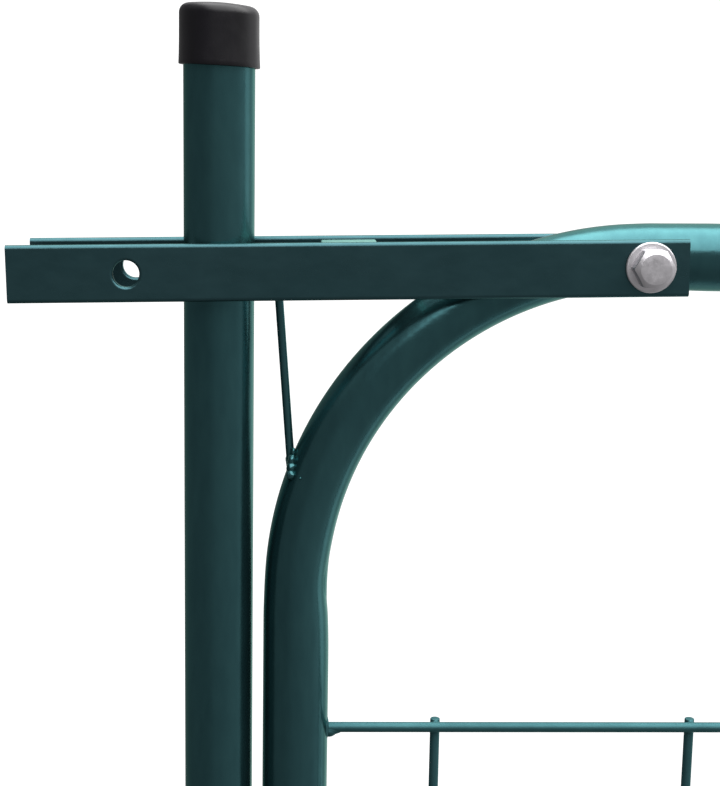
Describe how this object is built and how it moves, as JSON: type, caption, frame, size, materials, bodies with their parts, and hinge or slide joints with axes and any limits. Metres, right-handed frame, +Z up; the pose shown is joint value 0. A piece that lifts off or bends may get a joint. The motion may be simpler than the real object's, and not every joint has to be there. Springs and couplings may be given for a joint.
{
  "type": "arched garden mesh gate",
  "caption": "Arched garden mesh gate hung between two capped round posts, with a throw-over loop latch.",
  "frame": {"origin": "middle of the latch post's foot, on the ground", "axes": "+Z up, +X from the latch post to the hinge post, +Y to the back of the gate"},
  "size_m": [1.2814, 0.12, 1.6415],
  "materials": {
    "green_coat": "semi-gloss powder coat",
    "latch_coat": "satin powder coat",
    "wire_coat": "semi-gloss powder coat",
    "black_plastic": "satin moulded",
    "zinc": "zinc plated, satin"
  },
  "bodies": {
    "posts": {"latch_post": "green_coat", "latch_base_plate": "green_coat", "hinge_post": "green_coat", "hinge_base_plate": "green_coat", "latch_post_cap": "black_plastic", "hinge_post_cap": "black_plastic", "upper_hinge_pintle": "zinc", "lower_hinge_pintle": "zinc", "hinge_washers": "zinc", "hinge_nuts": "zinc"},
    "leaf": {"arch_hoop": "green_coat", "bottom_rail": "green_coat", "latch_rest_rod": "green_coat", "upper_hinge_eye": "green_coat", "lower_hinge_eye": "green_coat", "stile_end_plugs": "black_plastic", "mesh_row_wire_1": "wire_coat", "mesh_row_wire_2": "wire_coat", "mesh_row_wire_3": "wire_coat", "mesh_row_wire_4": "wire_coat", "mesh_row_wire_5": "wire_coat", "mesh_row_wire_6": "wire_coat", "mesh_row_wire_7": "wire_coat", "mesh_row_wire_8": "wire_coat", "mesh_upright_wire_1": "wire_coat", "mesh_upright_wire_2": "wire_coat", "mesh_upright_wire_3": "wire_coat", "mesh_upright_wire_4": "wire_coat", "mesh_upright_wire_5": "wire_coat", "mesh_upright_wire_6": "wire_coat", "pivot_bolt": "zinc", "pivot_washer": "zinc", "pivot_lock_nut": "zinc", "pivot_front_collar": "zinc", "pivot_back_collar": "zinc"},
    "latch": {"front_latch_bar": "latch_coat", "back_latch_bar": "latch_coat", "latch_spacer": "latch_coat"}
  },
  "joints": [
    {"name": "gate_swing", "type": "hinge", "parent": "posts", "child": "leaf", "pos_m": [1.057, 0, 1], "axis": [0, 0, 1], "range_deg": [-105, 105]},
    {"name": "latch_lift", "type": "hinge", "parent": "leaf", "child": "latch", "pos_m": [0.2475, 0, 1.4963], "axis": [0, 1, 0], "range_deg": [0, 167.5]}
  ]
}
